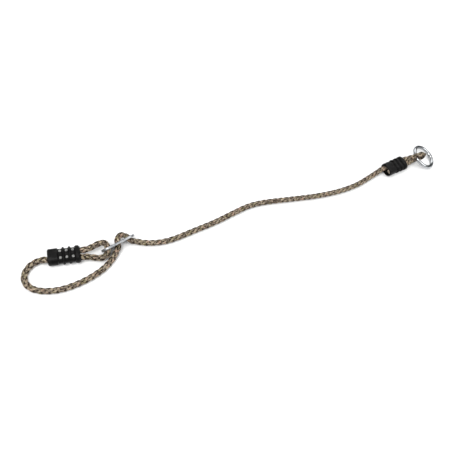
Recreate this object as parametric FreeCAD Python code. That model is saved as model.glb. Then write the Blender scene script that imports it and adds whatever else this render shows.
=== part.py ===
import FreeCAD, Part
import math
import os

from FreeCAD import Placement, Rotation, Vector

# Adjustable hanging rope for a play-set zip line or swing seat, laid on a flat surface.
# One braided rope runs from a welded steel ring, through a three-hole steel adjuster, round
# a big loop and back to the adjuster. Each end is an eye, closed by a pinned plastic clamp.
# Frame: millimetres, +X along the length towards the ring, +Z up, the surface at Z = 0, and
# the origin at the middle of the fittings (ring, clamps and adjuster) on that surface.

# ---- rope ----
ROPE_D = 10.0
CUT_END_LENGTH = 1.5            # fused plastic at each heat-cut end

# The rope's route, from the cut end in the ring clamp to the cut end in the loop clamp.
RING_EYE = [
    (244.1, 94.6, 9.3),         # cut end, in the ring clamp's near bore
    (282.5, 118.0, 9.3),
    (289.3, 123.4, 8.3),
    (295.4, 128.9, 7.2),
    (301.8, 133.0, 6.8),        # under the ring's wire
    (311.8, 137.0, 7.2),
    (317.2, 138.4, 12.0),
    (317.4, 137.4, 20.4),
    (312.8, 134.8, 25.6),
    (303.2, 130.6, 26.3),       # over the ring's wire
    (294.6, 128.4, 21.8),
    (286.3, 128.6, 14.6),
    (276.5, 127.9, 9.3),
]
MAIN_RUN = [
    (230.4, 99.8, 9.3),         # out of the ring clamp's mouth
    (217.0, 89.0, 6.8),
    (199.0, 75.4, 5.0),
    (174.0, 56.0, 5.0),
    (140.0, 38.0, 5.0),
    (98.0, 22.2, 5.0),
    (46.0, 8.2, 5.0),
    (-8.0, -5.2, 5.0),
    (-36.0, -16.6, 5.0),
    (-67.0, -38.0, 5.0),
    (-96.0, -58.4, 5.0),
    (-130.0, -77.8, 5.0),
    (-162.0, -97.4, 5.0),
    (-185.0, -105.8, 5.0),
    (-207.0, -108.4, 5.0),
    (-220.6, -107.6, 6.3),
]
ADJUSTER_BIGHT = [
    (-230.1, -108.6, 8.7),      # through the adjuster's ring-side hole
    (-235.8, -103.0, 12.4),
    (-242.8, -102.4, 14.6),
    (-248.5, -106.7, 14.6),
    (-249.2, -113.2, 12.4),
    (-246.3, -120.3, 8.9),      # back through the middle hole
]
LOOP = [
    (-248.4, -128.0, 6.6),
    (-252.6, -141.5, 5.0),
    (-265.0, -161.5, 5.0),
    (-290.0, -183.2, 5.0),
    (-322.0, -200.6, 5.0),
    (-352.0, -204.8, 5.0),
    (-370.5, -197.6, 5.0),
    (-377.4, -182.5, 5.0),
    (-373.0, -166.2, 5.0),
    (-363.2, -157.4, 6.0),
    (-352.0, -153.8, 8.2),
    (-340.3, -155.3, 9.3),      # into the loop clamp's near bore
]
END_EYE = [
    (-296.2, -144.2, 9.3),
    (-284.4, -142.8, 8.0),
    (-273.0, -143.8, 6.9),
    (-264.3, -139.8, 7.1),
    (-260.4, -132.2, 8.7),      # through the adjuster's end hole
    (-263.3, -122.6, 12.8),
    (-268.0, -119.2, 13.8),
    (-274.6, -119.8, 13.0),
    (-283.4, -125.4, 11.2),
    (-291.4, -130.6, 9.8),
    (-299.0, -133.0, 9.3),
    (-342.6, -144.0, 9.3),      # cut end, in the loop clamp's far bore
]
ARC_SHARE = 0.45                # part of the shorter run that a bend takes up at each side

# ---- top ring ----
RING_INNER_D = 38.0
RING_WIRE_D = 7.0
RING_CENTRE_XY = (322.4, 140.8)
RING_TILT = 17.9                # it lies on its far side, its near side lifted by the rope eye
RING_LEAN = -8.0                # direction in which the ring's upper face leans

# ---- adjuster plate ----
PLATE_THICKNESS = 4.0
PLATE_EDGE_ROUND = 1.2
HOLE_CLEARANCE = 2.0            # round the rope
HOLE_BRIDGE = 4.0               # steel between two holes
HOLE_WALL = 4.0                 # steel between a hole and the plate's outline
HOLE_COUNT = 3
PLATE_CENTRE_XY = (-247.5, -116.1)
PLATE_AZIMUTH = 37.3            # direction of the row of holes
PLATE_LEAN = 25.0               # the plate stands on its long edge, leaning by this much

# ---- rope clamps ----
MOUTH_LENGTH = 16.0             # smooth block at the single-rope end
MOUTH_SETBACK = 0.9             # how far the block's sides stand back from the ribs
CAVITY_DEPTH = 12.0             # open pocket inside the mouth block
CAVITY_WALL = 2.2
FLANGE_LENGTH = 8.3             # solid block at the eye end
GROOVE_LENGTH = 5.1
RIB_LENGTH = 4.2
RIB_COUNT = 2
GROOVE_DEPTH = 2.7              # across the flat faces
GROOVE_SIDE_DEPTH = 2.4         # at the narrow sides
MOUTH_BEVEL = 1.8               # round the mouth
RIB_BEVEL = 1.6
END_BEVEL = 2.6                 # at the eye end
BORE_CLEARANCE = 0.1            # round the rope
ROPE_PARTING = 1.5              # between the two legs of rope
BORE_COVER = 1.5                # plastic over a bore at the bottom of a groove
BORE_SIDE_WALL = 1.05           # plastic beside a bore at the bottom of a groove
PIN_D = 3.0
PIN_CLEARANCE = 0.05
PIN_POINT_LENGTH = 1.2
PIN_BITE = 0.9                  # how far the point goes into the far shell's wall
PIN_HEAD_D = 4.4
PIN_HEAD_HEIGHT = 1.1
PIN_HEAD_ROUND = 0.7
PIN_SEAT_DEPTH = 0.5
SEAT_CLEARANCE = 0.2
RING_CLAMP_MOUTH_XY = (235.1, 95.86)
RING_CLAMP_AZIMUTH = 31.4
RING_CLAMP_HEADS_UP = False     # this clamp lies with its pin heads underneath
LOOP_CLAMP_MOUTH_XY = (-348.04, -151.29)
LOOP_CLAMP_AZIMUTH = 14.1
LOOP_CLAMP_HEADS_UP = True

# ---- worked out ----
ROUTE = [Vector(*p) for p in RING_EYE + MAIN_RUN + ADJUSTER_BIGHT + LOOP + END_EYE]
HOLE_D = ROPE_D + 2 * HOLE_CLEARANCE
HOLE_PITCH = HOLE_D + HOLE_BRIDGE
BORE_D = ROPE_D + 2 * BORE_CLEARANCE
BORE_SPACING = ROPE_D + ROPE_PARTING
GROOVE_THICKNESS = BORE_D + 2 * BORE_COVER
GROOVE_WIDTH = BORE_SPACING + BORE_D + 2 * BORE_SIDE_WALL
CLAMP_THICKNESS = GROOVE_THICKNESS + 2 * GROOVE_DEPTH
CLAMP_WIDTH = GROOVE_WIDTH + 2 * GROOVE_SIDE_DEPTH
MOUTH_WIDTH = CLAMP_WIDTH - 2 * MOUTH_SETBACK
CLAMP_MID_Z = CLAMP_THICKNESS / 2
RIB_PITCH = GROOVE_LENGTH + RIB_LENGTH
FLANGE_X = MOUTH_LENGTH + RIB_COUNT * RIB_PITCH + GROOVE_LENGTH
CLAMP_LENGTH = FLANGE_X + FLANGE_LENGTH
PIN_SEAT = GROOVE_THICKNESS / 2 - PIN_SEAT_DEPTH
PIN_TIP = -BORE_D / 2 - PIN_BITE
UP = Vector(0, 0, 1)
ALONG = Vector(1, 0, 0)


def save(name, shape):
    """Write one node's solid or group of solids."""
    shape.exportStep("parts/" + name + ".step")
    print("%-26s %8.1f mm3" % (name, shape.Volume))


# ---- rope ----
def bend(before, corner, after):
    """The arc that rounds a corner of the route: its start, middle, end and radius."""
    back = (before - corner).normalize()
    on = (after - corner).normalize()
    half_turn = (math.pi - back.getAngle(on)) / 2
    reach = ARC_SHARE * min((before - corner).Length, (after - corner).Length)
    radius = reach / math.tan(half_turn)
    inward = (back + on).normalize()
    middle = corner + inward * (radius / math.cos(half_turn) - radius)
    return corner + back * reach, middle, corner + on * reach, radius


def stretch_path(first, last):
    """Edges from the middle of the run into point first to the middle of the run out of last."""
    at = ROUTE[0] if first == 0 else (ROUTE[first - 1] + ROUTE[first]) / 2
    edges = []
    tightest = 1e9
    for i in range(max(first, 1), min(last, len(ROUTE) - 2) + 1):
        start, middle, end, radius = bend(ROUTE[i - 1], ROUTE[i], ROUTE[i + 1])
        edges.append(Part.LineSegment(at, start).toShape())
        edges.append(Part.Arc(start, middle, end).toShape())
        tightest = min(tightest, radius)
        at = end
    final = ROUTE[-1] if last == len(ROUTE) - 1 else (ROUTE[last] + ROUTE[last + 1]) / 2
    edges.append(Part.LineSegment(at, final).toShape())
    return Part.Wire(edges), tightest


def rope_stretch(name, first, last):
    """One stretch of rope as a plain tube along its part of the route."""
    path, tightest = stretch_path(first, last)
    start = path.Edges[0]
    section = Part.Wire(Part.makeCircle(ROPE_D / 2, start.valueAt(start.FirstParameter),
                                        start.tangentAt(start.FirstParameter)))
    tube = path.makePipeShell([section], True, False)
    expected = math.pi * ROPE_D ** 2 / 4 * path.Length
    print("%s length %.1f mm, tightest bend %.1f mm, volume %.4f of section x length"
          % (name, path.Length, tightest, tube.Volume / expected))
    return tube


def cut_end(tip, inside):
    """The fused plastic that closes a cut end: a short button with a rounded edge."""
    out = (tip - inside).normalize()
    button = Part.makeCylinder(ROPE_D / 2, CUT_END_LENGTH, tip, out)
    rim = [e for e in button.Edges if (e.CenterOfMass - tip).dot(out) > CUT_END_LENGTH / 2
           and len(e.Vertexes) == 1]
    return button.makeFillet(CUT_END_LENGTH / 2, rim)


def make_rope():
    names = ["rope_ring_eye", "rope_main_run", "rope_adjuster_bight", "rope_loop", "rope_end_eye"]
    counts = [len(part) for part in (RING_EYE, MAIN_RUN, ADJUSTER_BIGHT, LOOP, END_EYE)]
    first = 0
    for name, count in zip(names, counts):
        save(name, rope_stretch(name, first, first + count - 1))
        first += count
    for i in range(1, len(ROUTE) - 1):
        print("  bend %2d radius %5.1f mm" % (i, bend(ROUTE[i - 1], ROUTE[i], ROUTE[i + 1])[3]))
    save("rope_cut_end_ring", cut_end(ROUTE[0], ROUTE[1]))
    save("rope_cut_end_loop", cut_end(ROUTE[-1], ROUTE[-2]))


# ---- top ring ----
def make_ring():
    tilt = math.radians(RING_TILT)
    lean = math.radians(RING_LEAN)
    radius = (RING_INNER_D + RING_WIRE_D) / 2
    height = RING_WIRE_D / 2 + radius * math.sin(tilt)
    normal = Vector(math.sin(tilt) * math.cos(lean), math.sin(tilt) * math.sin(lean), math.cos(tilt))
    centre = Vector(*RING_CENTRE_XY, height)
    print("ring centre", centre, "normal", normal)
    save("top_ring", Part.makeTorus(radius, RING_WIRE_D / 2, centre, normal))


# ---- adjuster plate ----
def make_plate():
    """A flat bar with round ends and a row of holes, modelled lying flat, then stood on edge."""
    half_width = HOLE_D / 2 + HOLE_WALL
    half_row = HOLE_PITCH * (HOLE_COUNT - 1) / 2
    half_thick = PLATE_THICKNESS / 2
    bar = Part.makeBox(2 * half_row, 2 * half_width, PLATE_THICKNESS,
                       Vector(-half_row, -half_width, -half_thick))
    for side in (-1, 1):
        end = Part.makeCylinder(half_width, PLATE_THICKNESS, Vector(side * half_row, 0, -half_thick))
        bar = bar.fuse(end)
    for i in range(HOLE_COUNT):
        place = Vector(i * HOLE_PITCH - half_row, 0, -PLATE_THICKNESS)
        bar = bar.cut(Part.makeCylinder(HOLE_D / 2, 2 * PLATE_THICKNESS, place))
    bar = bar.removeSplitter()
    rims = [e for e in bar.Edges if abs(abs(e.CenterOfMass.z) - half_thick) < 1e-6]
    bar = bar.makeFillet(PLATE_EDGE_ROUND, rims)
    lean = math.radians(PLATE_LEAN)
    height = half_width * math.cos(lean) + half_thick * math.sin(lean)
    stand = Rotation(ALONG, 90 + PLATE_LEAN)
    turn = Rotation(UP, PLATE_AZIMUTH)
    bar.Placement = Placement(Vector(*PLATE_CENTRE_XY, height), turn * stand)
    print("adjuster centre", bar.Placement.Base, "face normal", bar.Placement.Rotation.multVec(UP),
          "width axis", bar.Placement.Rotation.multVec(Vector(0, 1, 0)))
    save("adjuster_plate", bar)


# ---- rope clamps ----
def oval(x, width, thickness):
    """An oval outline across the clamp at x, flat above and below and round at the sides."""
    flat = (width - thickness) / 2
    r = thickness / 2
    z = CLAMP_MID_Z
    a, b = Vector(x, flat, z + r), Vector(x, -flat, z + r)
    c, d = Vector(x, -flat, z - r), Vector(x, flat, z - r)
    return Part.Wire([Part.LineSegment(a, b).toShape(),
                      Part.Arc(b, Vector(x, -flat - r, z), c).toShape(),
                      Part.LineSegment(c, d).toShape(),
                      Part.Arc(d, Vector(x, flat + r, z), a).toShape()])


def slab(x0, x1, width, thickness, bevel0, bevel1):
    """An oval block from x0 to x1 with bevelled ends."""
    rings = [oval(x0, width - 2 * bevel0, thickness - 2 * bevel0),
             oval(x0 + bevel0, width, thickness),
             oval(x1 - bevel1, width, thickness),
             oval(x1, width - 2 * bevel1, thickness - 2 * bevel1)]
    return Part.makeLoft(rings, True, True)


def pin_places():
    """Where the pins cross the clamp: one through each rope leg in each groove."""
    places = []
    for i in range(RIB_COUNT + 1):
        x = MOUTH_LENGTH + i * RIB_PITCH + GROOVE_LENGTH / 2
        for side in (-1, 1):
            places.append(Vector(x, side * BORE_SPACING / 2, CLAMP_MID_Z))
    return places


def pointed_rod(middle, radius, tip, top):
    """An upright round rod from tip to top, both heights from the clamp's middle, pointed below."""
    point = Part.makeCone(0, radius, PIN_POINT_LENGTH, middle + UP * tip)
    rod = Part.makeCylinder(radius, top - tip - PIN_POINT_LENGTH, middle + UP * (tip + PIN_POINT_LENGTH))
    return rod.fuse(point)


def clamp_body():
    """The whole clamp, mouth at x = 0, before it is parted into its two shells."""
    body = slab(0, MOUTH_LENGTH, MOUTH_WIDTH, CLAMP_THICKNESS, MOUTH_BEVEL, RIB_BEVEL)
    core = Part.makeLoft([oval(MOUTH_LENGTH - RIB_BEVEL, GROOVE_WIDTH, GROOVE_THICKNESS),
                          oval(CLAMP_LENGTH - END_BEVEL, GROOVE_WIDTH, GROOVE_THICKNESS)], True, True)
    body = body.fuse(core)
    for i in range(1, RIB_COUNT + 1):
        x = MOUTH_LENGTH + i * RIB_PITCH - RIB_LENGTH
        body = body.fuse(slab(x, x + RIB_LENGTH, CLAMP_WIDTH, CLAMP_THICKNESS, RIB_BEVEL, RIB_BEVEL))
    body = body.fuse(slab(FLANGE_X, CLAMP_LENGTH, CLAMP_WIDTH, CLAMP_THICKNESS, RIB_BEVEL, END_BEVEL))
    cavity = Part.makeLoft([oval(x, MOUTH_WIDTH - 2 * CAVITY_WALL, CLAMP_THICKNESS - 2 * CAVITY_WALL)
                            for x in (-1, CAVITY_DEPTH)], True, True)
    body = body.cut(cavity)
    for side in (-1, 1):
        start = Vector(0, side * BORE_SPACING / 2, CLAMP_MID_Z)
        body = body.cut(Part.makeCylinder(BORE_D / 2, CLAMP_LENGTH + 1, start, ALONG))
    for middle in pin_places():
        body = body.cut(pointed_rod(middle, PIN_D / 2 + PIN_CLEARANCE, PIN_TIP - PIN_CLEARANCE, CLAMP_MID_Z))
        pocket = Part.makeCylinder(PIN_HEAD_D / 2 + SEAT_CLEARANCE, GROOVE_DEPTH + PIN_SEAT_DEPTH,
                                   middle + UP * PIN_SEAT)
        body = body.cut(pocket)
    return body


def clamp_pin(middle):
    """A pin driven in from the upper face: a low rounded head, a shank and a blind point."""
    head = Part.makeCylinder(PIN_HEAD_D / 2, PIN_HEAD_HEIGHT, middle + UP * PIN_SEAT)
    crown = middle.z + PIN_SEAT + PIN_HEAD_HEIGHT
    rim = [e for e in head.Edges if abs(e.CenterOfMass.z - crown) < 1e-6 and len(e.Vertexes) == 1]
    shank = pointed_rod(middle, PIN_D / 2, PIN_TIP, PIN_SEAT)
    return shank.fuse(head.makeFillet(PIN_HEAD_ROUND, rim)).removeSplitter()


def make_clamp(name, mouth_xy, azimuth, heads_up):
    """Upper shell, lower shell and pins of one clamp, laid flat at its place."""
    body = clamp_body()
    pins = Part.makeCompound([clamp_pin(middle) for middle in pin_places()])
    if not heads_up:
        for shape in (body, pins):
            shape.rotate(Vector(0, 0, CLAMP_MID_Z), ALONG, 180)
    size = 2 * CLAMP_LENGTH
    upper_half = Part.makeBox(size, size, size, Vector(-size / 4, -size / 2, CLAMP_MID_Z))
    nodes = {"_upper_shell": body.common(upper_half), "_lower_shell": body.cut(upper_half), "_pins": pins}
    for suffix, shape in nodes.items():
        shape.rotate(Vector(0, 0, 0), UP, azimuth)
        shape.translate(Vector(*mouth_xy, 0))
        save(name + suffix, shape)


os.makedirs("parts", exist_ok=True)
make_rope()
make_ring()
make_plate()
make_clamp("ring_clamp", RING_CLAMP_MOUTH_XY, RING_CLAMP_AZIMUTH, RING_CLAMP_HEADS_UP)
make_clamp("loop_clamp", LOOP_CLAMP_MOUTH_XY, LOOP_CLAMP_AZIMUTH, LOOP_CLAMP_HEADS_UP)
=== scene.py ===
import math

import bmesh
import bpy
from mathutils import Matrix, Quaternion, Vector


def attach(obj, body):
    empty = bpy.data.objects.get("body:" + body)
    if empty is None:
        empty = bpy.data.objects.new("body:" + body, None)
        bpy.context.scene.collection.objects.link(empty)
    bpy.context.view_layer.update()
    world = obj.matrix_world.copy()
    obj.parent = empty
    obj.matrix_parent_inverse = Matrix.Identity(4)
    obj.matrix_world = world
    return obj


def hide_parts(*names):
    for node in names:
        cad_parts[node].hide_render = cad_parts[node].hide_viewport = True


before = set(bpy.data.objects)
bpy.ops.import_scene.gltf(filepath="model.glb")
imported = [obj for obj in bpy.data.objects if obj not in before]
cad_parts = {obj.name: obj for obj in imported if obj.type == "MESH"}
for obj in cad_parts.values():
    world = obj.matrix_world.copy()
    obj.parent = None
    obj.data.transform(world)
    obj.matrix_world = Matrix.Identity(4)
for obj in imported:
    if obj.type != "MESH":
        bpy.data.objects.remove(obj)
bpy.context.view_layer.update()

# An adjustable hanging rope for a play-set zip line or swing seat: one plaited rope with a
# welded steel ring in its upper eye, a three-hole steel adjuster, a big loop for the seat and
# a pinned black plastic clamp at each end. It lies on a pale floor. Everything is in metres.

ROOT = "rope_and_clamps"
FULL_TURN = 2 * math.pi

# ---- rope sizes ----
ROPE_D = 0.010
ROPE_LAY = 0.0428               # length in which a strand goes once round the rope
STRANDS_EACH_WAY = 4
STRAND_WIDTH = 0.0046
STRAND_THICKNESS = 0.0034
UNDER_SHARE = 0.19              # radius of a strand's middle where it dives, over rope diameter
CROSSING_SQUARENESS = 1.5       # how quickly a strand goes from over to under
STRAND_DRIFT = 0.22             # unevenness of the plait, in radians
DRIFT_SCALE = 90.0              # how fast that unevenness changes along the rope
STRAND_STEPS = 1150             # rings of faces along a strand
STRAND_SIDES = 10
ROUTE_RESOLUTION = 24           # points on the line for each control point of the route
YARN_COUNT = 5                  # yarns seen round one strand
YARN_LAY = 0.013

# The rope's route from the cut end in the ring clamp to the cut end in the loop clamp.
RING_EYE = [
    (0.2441, 0.0946, 0.0093),
    (0.2825, 0.1180, 0.0093),
    (0.2893, 0.1234, 0.0083),
    (0.2954, 0.1289, 0.0072),
    (0.3018, 0.1330, 0.0068),
    (0.3118, 0.1370, 0.0072),
    (0.3172, 0.1384, 0.0120),
    (0.3174, 0.1374, 0.0204),
    (0.3128, 0.1348, 0.0256),
    (0.3032, 0.1306, 0.0263),
    (0.2946, 0.1284, 0.0218),
    (0.2863, 0.1286, 0.0146),
    (0.2765, 0.1279, 0.0093),
]
MAIN_RUN = [
    (0.2304, 0.0998, 0.0093),
    (0.2170, 0.0890, 0.0068),
    (0.1990, 0.0754, 0.0050),
    (0.1740, 0.0560, 0.0050),
    (0.1400, 0.0380, 0.0050),
    (0.0980, 0.0222, 0.0050),
    (0.0460, 0.0082, 0.0050),
    (-0.0080, -0.0052, 0.0050),
    (-0.0360, -0.0166, 0.0050),
    (-0.0670, -0.0380, 0.0050),
    (-0.0960, -0.0584, 0.0050),
    (-0.1300, -0.0778, 0.0050),
    (-0.1620, -0.0974, 0.0050),
    (-0.1850, -0.1058, 0.0050),
    (-0.2070, -0.1084, 0.0050),
    (-0.2206, -0.1076, 0.0063),
]
ADJUSTER_BIGHT = [
    (-0.2301, -0.1086, 0.0087),
    (-0.2358, -0.1030, 0.0124),
    (-0.2428, -0.1024, 0.0146),
    (-0.2485, -0.1067, 0.0146),
    (-0.2492, -0.1132, 0.0124),
    (-0.2463, -0.1203, 0.0089),
]
LOOP = [
    (-0.2484, -0.1280, 0.0066),
    (-0.2526, -0.1415, 0.0050),
    (-0.2650, -0.1615, 0.0050),
    (-0.2900, -0.1832, 0.0050),
    (-0.3220, -0.2006, 0.0050),
    (-0.3520, -0.2048, 0.0050),
    (-0.3705, -0.1976, 0.0050),
    (-0.3774, -0.1825, 0.0050),
    (-0.3730, -0.1662, 0.0050),
    (-0.3632, -0.1574, 0.0060),
    (-0.3520, -0.1538, 0.0082),
    (-0.3403, -0.1553, 0.0093),
]
END_EYE = [
    (-0.2962, -0.1442, 0.0093),
    (-0.2844, -0.1428, 0.0080),
    (-0.2730, -0.1438, 0.0069),
    (-0.2643, -0.1398, 0.0071),
    (-0.2604, -0.1322, 0.0087),
    (-0.2633, -0.1226, 0.0128),
    (-0.2680, -0.1192, 0.0138),
    (-0.2746, -0.1198, 0.0130),
    (-0.2834, -0.1254, 0.0112),
    (-0.2914, -0.1306, 0.0098),
    (-0.2990, -0.1330, 0.0093),
    (-0.3426, -0.1440, 0.0093),
]
ROUTE = RING_EYE + MAIN_RUN + ADJUSTER_BIGHT + LOOP + END_EYE

# ---- clamps and ring ----
SHELL_ROUNDING = 0.0006
ROUNDING_SEGMENTS = 3
ROUNDED_EDGE_ANGLE = math.radians(32.0)            # edges sharper than this get rounded
FLAT_ANGLE = math.radians(1.0)  # triangles that meet at less than this are one face
POINT_GAP = 1e-6                # points closer than this are one point
RING_CENTRE = Vector((0.3224, 0.1408, 0.010416))
RING_NORMAL = Vector((0.30437, -0.04278, 0.95159)).normalized()
RING_HINGE = Vector((0.3026, 0.1320, 0.0164))      # middle of the rope eye on the wire
RING_RADIUS = 0.0225            # to the middle of the wire
RING_WIRE_D = 0.007
RING_STEPS = 200
RING_SIDES = 28
WELD_HALF_LENGTH = 0.0022
WELD_HEIGHT = 0.00045
WELD_RIPPLE = 0.45              # share of that height which ripples along the wire
RIPPLE_RATE = 5.2
COARSE_LUMPS = 0.25             # shares of it in the lumps round the wire
FINE_LUMPS = 0.20

# ---- camera ----
CAMERA_PLACE = Vector((-0.2161, -0.5240, 0.7490))
CAMERA_AIM = Vector((-0.0741, -0.0588, 0.0))
CAMERA_ROLL = math.radians(20.0)
CAMERA_LENS = 42.2
SENSOR_WIDTH = 36.0

# ---- stage ----
FLOOR_HALF_SIZE = 6.0
SKY_STRENGTH = 1.05
HORIZON_EDGE = 0.15             # height of a direction below which the sky is dark
OVERHEAD_EDGE = 0.85            # and above which it is white
HORIZON = (0.03, 0.035, 0.04, 1.0)
WHITE = (1.0, 1.0, 1.0, 1.0)
LAMPS = [
    # name, place, disc size and power
    ("key", (-0.9, -0.7, 1.7), 1.1, 26.0),
    ("fill", (1.3, -0.6, 1.3), 1.4, 12.0),
    ("back", (0.3, 1.5, 1.2), 1.2, 12.0),
]


# ---- node trees ----
class Signal:
    """A socket in a node tree. Sums on it add Math nodes."""

    def __init__(self, nodes, socket):
        self.nodes = nodes
        self.socket = socket

    def maths(self, operation, *others):
        return self.nodes.maths(operation, self, *others)

    def __add__(self, other):
        return self.maths("ADD", other)

    __radd__ = __add__

    def __sub__(self, other):
        return self.maths("SUBTRACT", other)

    def __rsub__(self, other):
        return self.nodes.maths("SUBTRACT", other, self)

    def __mul__(self, other):
        return self.maths("MULTIPLY", other)

    __rmul__ = __mul__

    def __truediv__(self, other):
        return self.maths("DIVIDE", other)

    def sine(self):
        return self.maths("SINE")

    def cosine(self):
        return self.maths("COSINE")


class Nodes:
    """One node tree, with a short way to add a node and join it up."""

    def __init__(self, tree):
        self.tree = tree

    def add(self, kind, settings=None, values=None, out=0):
        """A node of this kind. Its settings come first, then its sockets' values or links."""
        node = self.tree.nodes.new(kind)
        for name, value in (settings or {}).items():
            setattr(node, name, value)
        for key, value in (values or {}).items():
            if isinstance(value, Signal):
                self.tree.links.new(value.socket, node.inputs[key])
            else:
                node.inputs[key].default_value = value
        return Signal(self, node.outputs[out])

    def maths(self, operation, *values):
        return self.add("ShaderNodeMath", {"operation": operation}, dict(enumerate(values)))

    def vector(self, operation, *values):
        return self.add("ShaderNodeVectorMath", {"operation": operation}, dict(enumerate(values)))

    def scaled(self, vector, factor):
        return self.add("ShaderNodeVectorMath", {"operation": "SCALE"}, {"Vector": vector, "Scale": factor})

    def pack(self, x, y, z):
        return self.add("ShaderNodeCombineXYZ", None, {0: x, 1: y, 2: z})

    def axis(self, vector, axis):
        return self.add("ShaderNodeSeparateXYZ", None, {0: vector}, axis)

    def smooth(self, value, low, high, start=0.0, end=1.0):
        """start below low, end above high, and a soft step between them."""
        return self.add("ShaderNodeMapRange", {"interpolation_type": "SMOOTHSTEP"},
                        {"Value": value, "From Min": low, "From Max": high, "To Min": start, "To Max": end})

    def blend(self, share, a, b):
        """Colour a where share is 0, and colour b where it is 1."""
        return self.add("ShaderNodeMix", {"data_type": "RGBA"}, {0: share, 6: a, 7: b}, 2)

    def noise(self, place, scale, detail=3.0, roughness=0.55):
        return self.add("ShaderNodeTexNoise", None,
                        {"Vector": place, "Scale": scale, "Detail": detail, "Roughness": roughness})

    def cells(self, place, scale):
        """The distance to the nearest of many scattered spots."""
        return self.add("ShaderNodeTexVoronoi", None, {"Vector": place, "Scale": scale})

    def attribute(self, name):
        """A number that a piece carries on its points."""
        return self.add("ShaderNodeAttribute", {"attribute_name": name}, None, 2)

    def place(self):
        """The point's own place on the piece, in metres."""
        return self.add("ShaderNodeTexCoord", None, None, 3)


def colour(r, g, b):
    return (r, g, b, 1.0)


def finish_material(name, base, roughness, metallic=0.0, height=None, height_depth=0.0001, fixed=None):
    """A material from a function that takes the tree and gives base colour, roughness and height."""
    material = bpy.data.materials.new(name)
    material.use_nodes = True
    nodes = Nodes(material.node_tree)
    shader = material.node_tree.nodes["Principled BSDF"]
    for key, value in (fixed or {}).items():
        shader.inputs[key].default_value = value
    shader.inputs["Metallic"].default_value = metallic
    material.node_tree.links.new(base(nodes).socket, shader.inputs["Base Color"])
    material.node_tree.links.new(roughness(nodes).socket, shader.inputs["Roughness"])
    if height:
        bump = nodes.add("ShaderNodeBump", None,
                         {"Height": height(nodes), "Distance": height_depth, "Strength": 1.0})
        material.node_tree.links.new(bump.socket, shader.inputs["Normal"])
    return material


# ---- materials ----
def uneven_gloss(scale, detail, low, high):
    """A roughness that wanders between low and high over the piece."""
    return lambda n: n.smooth(n.noise(n.place(), scale, detail), 0.3, 0.7, low, high)


def strand_fibres(n):
    """A point's place inside its strand, turned with the strand's own twist, as x and y."""
    along = n.attribute("along")
    side = n.attribute("side")
    lift = n.attribute("lift")
    turn = along * (FULL_TURN / YARN_LAY)
    x = side * turn.cosine() - lift * turn.sine()
    y = side * turn.sine() + lift * turn.cosine()
    return x, y, along


def fibre_noise(n, across, lengthways, shift=0.0):
    """Noise that is drawn out along the fibres of each strand."""
    x, y, along = strand_fibres(n)
    strand = n.attribute("strand") * 3.7 + shift
    return n.noise(n.pack(x * across, y * across, along * lengthways + strand), 1.0)


def yarn_ridges(n):
    """1 on the back of a yarn and 0 in the groove between two."""
    x, y, along = strand_fibres(n)
    angle = n.maths("ARCTAN2", y, x)
    return (angle * float(YARN_COUNT)).cosine() * 0.5 + 0.5


def strand_patches(n, lengthways, shift):
    """Noise that changes along a strand and from strand to strand, but not across it."""
    strand = n.attribute("strand") * 5.9 + shift
    return n.noise(n.pack(n.attribute("along") * lengthways, strand, strand * 0.7), 1.0, 2.0)


def rope_colour(n):
    tan = colour(0.370, 0.298, 0.200)
    pale = colour(0.740, 0.640, 0.510)
    # This brown is the tracer yarns' own colour, and it is also used as painted shade in the grooves between
    # yarns.
    brown_yarn_and_groove_shade = colour(0.024, 0.011, 0.005)
    olive = colour(0.150, 0.130, 0.048)
    rose = colour(0.340, 0.215, 0.150)
    patches = strand_patches(n, 90.0, 11.0)
    shade = n.blend(n.smooth(patches, 0.52, 0.58), tan, olive)
    shade = n.blend(n.smooth(patches, 0.46, 0.38), shade, rose)
    shade = n.blend(n.smooth(strand_patches(n, 190.0, 47.0), 0.46, 0.54, 0.0, 0.94), shade, brown_yarn_and_groove_shade)
    shade = n.blend(n.smooth(fibre_noise(n, 2.2, 130.0, 31.0), 0.56, 0.64, 0.0, 0.85), shade, brown_yarn_and_groove_shade)
    shade = n.blend(n.smooth(fibre_noise(n, 8.0, 170.0, 53.0), 0.50, 0.63, 0.0, 0.85), shade, pale)
    # Painted shade: the grooves between the yarns are darkened towards brown, as if shade fell in them.
    groove = n.smooth(yarn_ridges(n), 0.0, 0.50, 0.70, 0.0)
    shade = n.blend(groove, shade, brown_yarn_and_groove_shade)
    # Painted shade: the sides and underside of each strand, where it beds against its neighbours, go nearly
    # black.
    painted_edge_shade = n.smooth(n.attribute("lift"), 0.35, 0.93, 1.0, 0.0)
    return n.blend(painted_edge_shade, shade, colour(0.008, 0.004, 0.003))


def rope_roughness(n):
    return n.smooth(fibre_noise(n, 9.0, 150.0, 53.0), 0.35, 0.70, 0.72, 0.50)


def rope_height(n):
    return yarn_ridges(n) * 0.8 + fibre_noise(n, 14.0, 160.0, 71.0) * 0.7


def rope_material():
    return finish_material("rope fibre, hemp colour", rope_colour, rope_roughness, 0.0, rope_height, 0.00035,
                           {"Specular IOR Level": 0.10})


def melt_colour(n):
    blotches = n.noise(n.place(), 420.0)
    return n.blend(n.smooth(blotches, 0.40, 0.62), colour(0.62, 0.55, 0.45), colour(0.20, 0.14, 0.09))


def melt_height(n):
    return n.noise(n.place(), 520.0, 4.0)


def melt_material():
    return finish_material("fused rope end", melt_colour, uneven_gloss(700.0, 3.0, 0.18, 0.42), 0.0,
                           melt_height, 0.0007)


def steel_scratches(n, scale):
    """Fine scratches, as noise drawn out one way."""
    place = n.vector("MULTIPLY", n.place(), (1.0, 7.0, 7.0))
    return n.noise(place, scale, 4.0, 0.7)


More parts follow.
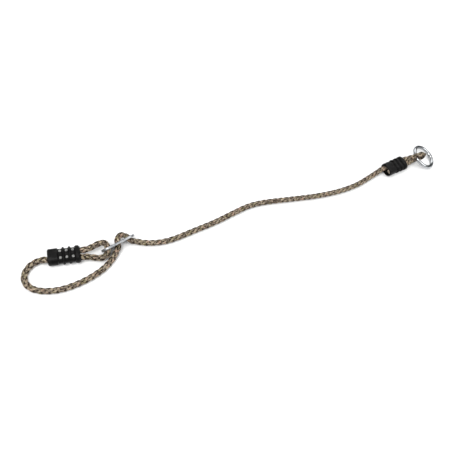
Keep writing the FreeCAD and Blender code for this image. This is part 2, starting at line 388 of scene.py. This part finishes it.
def ring_colour(n):
    bright = colour(0.46, 0.47, 0.48)
    dull = colour(0.26, 0.27, 0.28)
    shade = n.blend(n.smooth(n.noise(n.place(), 130.0, 4.0), 0.42, 0.66), bright, dull)
    flecks = n.smooth(n.cells(n.place(), 900.0), 0.10, 0.30, 0.40, 0.0)
    return n.blend(flecks, shade, colour(0.15, 0.155, 0.16))


def ring_height(n):
    return n.noise(n.place(), 600.0, 4.0) + steel_scratches(n, 300.0) * 0.4


def ring_material():
    return finish_material("galvanised steel wire", ring_colour, uneven_gloss(260.0, 4.0, 0.08, 0.24), 1.0,
                           ring_height, 0.00006)


def plate_colour(n):
    bright = colour(0.42, 0.43, 0.44)
    cloudy = colour(0.20, 0.21, 0.225)
    shade = n.blend(n.smooth(n.noise(n.place(), 170.0, 5.0), 0.38, 0.68), bright, cloudy)
    scratches = n.smooth(steel_scratches(n, 420.0), 0.60, 0.74, 0.0, 0.5)
    return n.blend(scratches, shade, colour(0.14, 0.145, 0.15))


def plate_height(n):
    return steel_scratches(n, 420.0) + n.noise(n.place(), 900.0) * 0.5


def plate_material():
    return finish_material("zinc plated steel", plate_colour, uneven_gloss(240.0, 5.0, 0.22, 0.42), 1.0,
                           plate_height, 0.00008)


def nylon_colour(n):
    black = colour(0.0030, 0.0028, 0.0027)
    worn = colour(0.0110, 0.0105, 0.0100)
    dust = colour(0.055, 0.050, 0.043)
    shade = n.blend(n.smooth(n.noise(n.place(), 190.0, 5.0), 0.46, 0.74), black, worn)
    return n.blend(n.smooth(n.noise(n.place(), 1500.0, 2.0), 0.68, 0.78, 0.0, 0.30), shade, dust)


def nylon_height(n):
    """The fine spark-eroded grain of a mould, with a few long scuffs."""
    return n.noise(n.place(), 2600.0, 2.0) + n.smooth(steel_scratches(n, 260.0), 0.62, 0.72) * 0.6


def nylon_material():
    return finish_material("black moulded nylon", nylon_colour, uneven_gloss(320.0, 4.0, 0.30, 0.48), 0.0,
                           nylon_height, 0.00010, {"Specular IOR Level": 0.12})


def pin_colour(n):
    return n.blend(n.smooth(n.noise(n.place(), 800.0, 4.0), 0.40, 0.68), colour(0.33, 0.33, 0.32),
                   colour(0.09, 0.09, 0.088))


def pin_height(n):
    return n.noise(n.place(), 1800.0, 4.0)


def pin_material():
    return finish_material("dull zinc plated pin", pin_colour, uneven_gloss(1200.0, 3.0, 0.38, 0.60), 1.0,
                           pin_height, 0.00012)


def floor_colour(n):
    return n.blend(n.noise(n.place(), 6.0), colour(0.86, 0.86, 0.86), colour(0.89, 0.89, 0.89))


def floor_material():
    return finish_material("pale floor", floor_colour, uneven_gloss(20.0, 3.0, 0.62, 0.70))


# ---- making pieces ----
def new_piece(name, mesh, material, smooth=True):
    """A finished mesh as an object at the origin, with its material."""
    piece = bpy.data.objects.new(name, mesh)
    bpy.context.scene.collection.objects.link(piece)
    mesh.name = name
    mesh.materials.clear()
    mesh.materials.append(material)
    mesh.polygons.foreach_set("use_smooth", [smooth] * len(mesh.polygons))
    return piece


def grown(name, source, tree, sizes, material):
    """The plain mesh that a Geometry Nodes tree makes from the source mesh."""
    host = bpy.data.objects.new(name + " source", source)
    bpy.context.scene.collection.objects.link(host)
    modifier = host.modifiers.new(name, "NODES")
    modifier.node_group = tree
    for label, value in sizes.items():
        modifier[tree.interface.items_tree[label].identifier] = value
    evaluated = host.evaluated_get(bpy.context.evaluated_depsgraph_get())
    mesh = bpy.data.meshes.new_from_object(evaluated)
    host.modifiers.remove(modifier)
    bpy.data.objects.remove(host)
    return new_piece(name, mesh, material)


class Maker(Nodes):
    """A Geometry Nodes tree with named inputs."""

    def __init__(self, name):
        super().__init__(bpy.data.node_groups.new(name, "GeometryNodeTree"))
        self.tree.interface.new_socket("Geometry", in_out="INPUT", socket_type="NodeSocketGeometry")
        self.tree.interface.new_socket("Geometry", in_out="OUTPUT", socket_type="NodeSocketGeometry")
        self.source = self.tree.nodes.new("NodeGroupInput")

    def input(self, label, kind="Float"):
        self.tree.interface.new_socket(label, in_out="INPUT", socket_type="NodeSocket" + kind)
        return Signal(self, self.source.outputs[label])

    def geometry(self):
        return Signal(self, self.source.outputs["Geometry"])

    def store(self, geometry, name, value):
        return self.add("GeometryNodeStoreNamedAttribute", {"data_type": "FLOAT", "domain": "POINT"},
                        {"Geometry": geometry, "Name": name, "Value": value})

    def finish(self, geometry, material):
        """Realise the instances, set the material and send the result out."""
        real = self.add("GeometryNodeRealizeInstances", None, {0: geometry})
        done = self.add("GeometryNodeSetMaterial", None, {"Geometry": real, "Material": material})
        end = self.tree.nodes.new("NodeGroupOutput")
        self.tree.links.new(done.socket, end.inputs[0])
        return self.tree


# ---- rope ----
def route_points(name, control_points):
    """The points of the smooth line through a route, read from its NURBS spline, as a mesh."""
    curve = bpy.data.curves.new(name, "CURVE")
    curve.dimensions = "3D"
    curve.resolution_u = ROUTE_RESOLUTION
    spline = curve.splines.new("NURBS")
    spline.points.add(len(control_points) - 1)
    for point, place in zip(spline.points, control_points):
        point.co = (*place, 1.0)
    spline.order_u = 3
    spline.use_endpoint_u = True
    line = bpy.data.objects.new(name, curve)
    bpy.context.scene.collection.objects.link(line)
    mesh = bpy.data.meshes.new_from_object(line.evaluated_get(bpy.context.evaluated_depsgraph_get()))
    bpy.data.objects.remove(line)
    return mesh


def plait_tree(material):
    """Strands plaited two over and two under along a line, half of them turning each way."""
    g = Maker("plaited rope")
    rope_d = g.input("Rope diameter")
    lay = g.input("Lay")
    width = g.input("Strand width")
    thickness = g.input("Strand thickness")
    steps = g.input("Steps", "Int")
    sides = g.input("Sides", "Int")
    pairs = g.input("Strands each way", "Int")

    line = g.add("GeometryNodeMeshToCurve", None, {0: g.geometry()})
    line = g.add("GeometryNodeResampleCurve", {"mode": "COUNT"}, {"Curve": line, "Count": steps})
    along = g.add("GeometryNodeSplineParameter", None, None, 1)
    line = g.store(line, "along", along)
    copies = g.add("GeometryNodeDuplicateElements", {"domain": "SPLINE"},
                   {"Geometry": line, "Amount": pairs * 2})
    index = Signal(g, copies.socket.node.outputs["Duplicate Index"])
    strands = g.store(copies, "strand", index)

    way = g.maths("MODULO", index, 2.0)
    sign = 1.0 - way * 2.0
    number = g.maths("FLOOR", index / 2.0)
    travel = along / lay * FULL_TURN
    drift = (g.noise(g.pack(along * DRIFT_SCALE, index * 5.3, 0.0), 1.0) - 0.5) * STRAND_DRIFT
    angle = travel * sign + number * FULL_TURN / pairs + drift
    crossing = travel * 2.0 + number * math.pi * sign - math.pi / 4 - way * math.pi
    wave = g.maths("TANH", crossing.cosine() * CROSSING_SQUARENESS) / math.tanh(CROSSING_SQUARENESS)
    over = rope_d / 2.0 - thickness / 2.0
    under = rope_d * UNDER_SHARE
    radius = (over + under) / 2.0 + (over - under) / 2.0 * wave

    normal = g.add("GeometryNodeInputNormal")
    tangent = g.add("GeometryNodeInputTangent")
    across = g.vector("CROSS_PRODUCT", tangent, normal)
    outward = g.vector("ADD", g.scaled(normal, angle.cosine()), g.scaled(across, angle.sine()))
    strands = g.add("GeometryNodeStoreNamedAttribute", {"data_type": "FLOAT_VECTOR", "domain": "POINT"},
                    {"Geometry": strands, "Name": "outward", "Value": outward})
    strands = g.add("GeometryNodeSetPosition", None,
                    {"Geometry": strands, "Offset": g.scaled(outward, radius)})
    facing = g.add("GeometryNodeInputNamedAttribute", {"data_type": "FLOAT_VECTOR"}, {"Name": "outward"})
    strands = g.add("GeometryNodeSetCurveNormal", {"mode": "FREE"}, {"Curve": strands, "Normal": facing})

    section = g.add("GeometryNodeCurvePrimitiveCircle", {"mode": "RADIUS"},
                    {"Resolution": sides, "Radius": 1.0})
    spot = g.add("GeometryNodeInputPosition")
    section = g.store(section, "lift", g.axis(spot, 0))
    section = g.store(section, "side", g.axis(spot, 1))
    section = g.add("GeometryNodeTransform", None,
                    {"Geometry": section, "Scale": g.pack(thickness / 2.0, width / 2.0, 1.0)})
    tubes = g.add("GeometryNodeCurveToMesh", None,
                  {"Curve": strands, "Profile Curve": section, "Fill Caps": True})
    return g.finish(tubes, material)


def make_rope():
    """The whole rope as one piece, in place of its five CAD stretches."""
    line = route_points("rope line", ROUTE)
    material = rope_material()
    rope = grown("rope", line, plait_tree(material),
                 {"Rope diameter": ROPE_D, "Lay": ROPE_LAY, "Strand width": STRAND_WIDTH,
                  "Strand thickness": STRAND_THICKNESS, "Steps": STRAND_STEPS, "Sides": STRAND_SIDES,
                  "Strands each way": STRANDS_EACH_WAY}, material)
    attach(rope, ROOT)
    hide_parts("rope_ring_eye", "rope_main_run", "rope_adjuster_bight", "rope_loop", "rope_end_eye")


# ---- fittings ----
def rounded_copy(node_name, material):
    """A copy of a moulded CAD node with its sharp edges rounded, standing in for the node."""
    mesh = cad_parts[node_name].data.copy()
    shape = bmesh.new()
    shape.from_mesh(mesh)
    bmesh.ops.remove_doubles(shape, verts=shape.verts, dist=POINT_GAP)
    bmesh.ops.dissolve_limit(shape, angle_limit=FLAT_ANGLE, verts=shape.verts, edges=shape.edges)
    shape.to_mesh(mesh)
    shape.free()
    host = bpy.data.objects.new(node_name + " source", mesh)
    bpy.context.scene.collection.objects.link(host)
    rounding = host.modifiers.new("rounding", "BEVEL")
    rounding.width = SHELL_ROUNDING
    rounding.segments = ROUNDING_SEGMENTS
    rounding.limit_method = "ANGLE"
    rounding.angle_limit = ROUNDED_EDGE_ANGLE
    finished = bpy.data.meshes.new_from_object(host.evaluated_get(bpy.context.evaluated_depsgraph_get()))
    bpy.data.objects.remove(host)
    piece = new_piece("rounded_" + node_name, finished, material, smooth=False)
    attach(piece, ROOT)
    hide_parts(node_name)


def ring_mesh():
    """A ring of round wire with a flattened, slightly raised weld on the side away from the rope."""
    away = (RING_CENTRE - RING_HINGE).normalized()
    side = RING_NORMAL.cross(away).normalized()
    shape = bmesh.new()
    loops = []
    for i in range(RING_STEPS):
        angle = FULL_TURN * i / RING_STEPS
        out = away * math.cos(angle) + side * math.sin(angle)
        from_weld = min(angle, FULL_TURN - angle) * RING_RADIUS / WELD_HALF_LENGTH
        ripple = 1 - WELD_RIPPLE * math.cos(RIPPLE_RATE * from_weld)
        swell = WELD_HEIGHT * math.exp(-from_weld ** 2) * ripple
        loop = []
        for k in range(RING_SIDES):
            turn = FULL_TURN * k / RING_SIDES
            coarse = COARSE_LUMPS * math.sin(3 * turn + 1.1)
            fine = FINE_LUMPS * math.sin(7 * turn + 9 * from_weld)
            radius = RING_WIRE_D / 2 + swell * (1 + coarse + fine)
            offset = out * (radius * math.cos(turn)) + RING_NORMAL * (radius * math.sin(turn))
            loop.append(shape.verts.new(RING_CENTRE + out * RING_RADIUS + offset))
        loops.append(loop)
    for i, loop in enumerate(loops):
        after = loops[(i + 1) % RING_STEPS]
        for k in range(RING_SIDES):
            m = (k + 1) % RING_SIDES
            shape.faces.new((loop[k], after[k], after[m], loop[m]))
    bmesh.ops.recalc_face_normals(shape, faces=shape.faces)
    mesh = bpy.data.meshes.new("top ring")
    shape.to_mesh(mesh)
    shape.free()
    return mesh


def make_ring():
    """The welded ring, in place of its plain CAD ring."""
    ring = new_piece("welded_top_ring", ring_mesh(), ring_material())
    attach(ring, "ring")
    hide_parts("top_ring")


def coat(nodes, material):
    """Give a material to CAD nodes that keep their own shape."""
    for name in nodes:
        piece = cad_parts[name]
        piece.data.materials.clear()
        piece.data.materials.append(material)


# ---- stage ----
def area_light(name, place, size, power):
    """A round soft lamp that points at the origin."""
    light = bpy.data.lights.new(name, "AREA")
    light.shape = "DISK"
    light.size = size
    light.energy = power
    lamp = bpy.data.objects.new(name, light)
    lamp.location = place
    lamp.rotation_euler = (-Vector(place)).to_track_quat("-Z", "Y").to_euler()
    bpy.context.scene.collection.objects.link(lamp)


def make_floor():
    mesh = bpy.data.meshes.new("floor")
    floor_mesh = bmesh.new()
    bmesh.ops.create_grid(floor_mesh, x_segments=1, y_segments=1, size=FLOOR_HALF_SIZE)
    floor_mesh.to_mesh(mesh)
    floor_mesh.free()
    floor = new_piece("floor", mesh, floor_material(), smooth=False)


def make_sky():
    """Bright overhead and dark at the horizon in the steel's reflections, and plain white behind."""
    world = bpy.data.worlds.new("studio")
    world.use_nodes = True
    n = Nodes(world.node_tree)
    sky = world.node_tree.nodes["Background"]
    height = n.axis(n.add("ShaderNodeTexCoord", None, None, 0), 2)
    shade = n.blend(n.smooth(height, HORIZON_EDGE, OVERHEAD_EDGE), HORIZON, WHITE)
    seen = n.add("ShaderNodeLightPath")
    shade = n.blend(seen, shade, WHITE)
    world.node_tree.links.new(shade.socket, sky.inputs["Color"])
    sky.inputs["Strength"].default_value = SKY_STRENGTH
    bpy.context.scene.world = world
    bpy.context.scene.view_settings.view_transform = "Standard"


def make_camera():
    data = bpy.data.cameras.new("camera")
    data.lens = CAMERA_LENS
    data.sensor_width = SENSOR_WIDTH
    camera = bpy.data.objects.new("camera", data)
    camera.location = CAMERA_PLACE
    level = (CAMERA_AIM - CAMERA_PLACE).to_track_quat("-Z", "Y")
    camera.rotation_mode = "QUATERNION"
    camera.rotation_quaternion = level @ Quaternion((0, 0, 1), CAMERA_ROLL)
    bpy.context.scene.collection.objects.link(camera)
    bpy.context.scene.camera = camera


make_camera()
make_rope()
make_ring()
coat(["adjuster_plate"], plate_material())
nylon = nylon_material()
for shell in ("ring_clamp_upper_shell", "ring_clamp_lower_shell", "loop_clamp_upper_shell",
              "loop_clamp_lower_shell"):
    rounded_copy(shell, nylon)
coat(["ring_clamp_pins", "loop_clamp_pins"], pin_material())
coat(["rope_cut_end_ring", "rope_cut_end_loop"], melt_material())
make_floor()
for name, place, size, power in LAMPS:
    area_light(name, place, size, power)
make_sky()
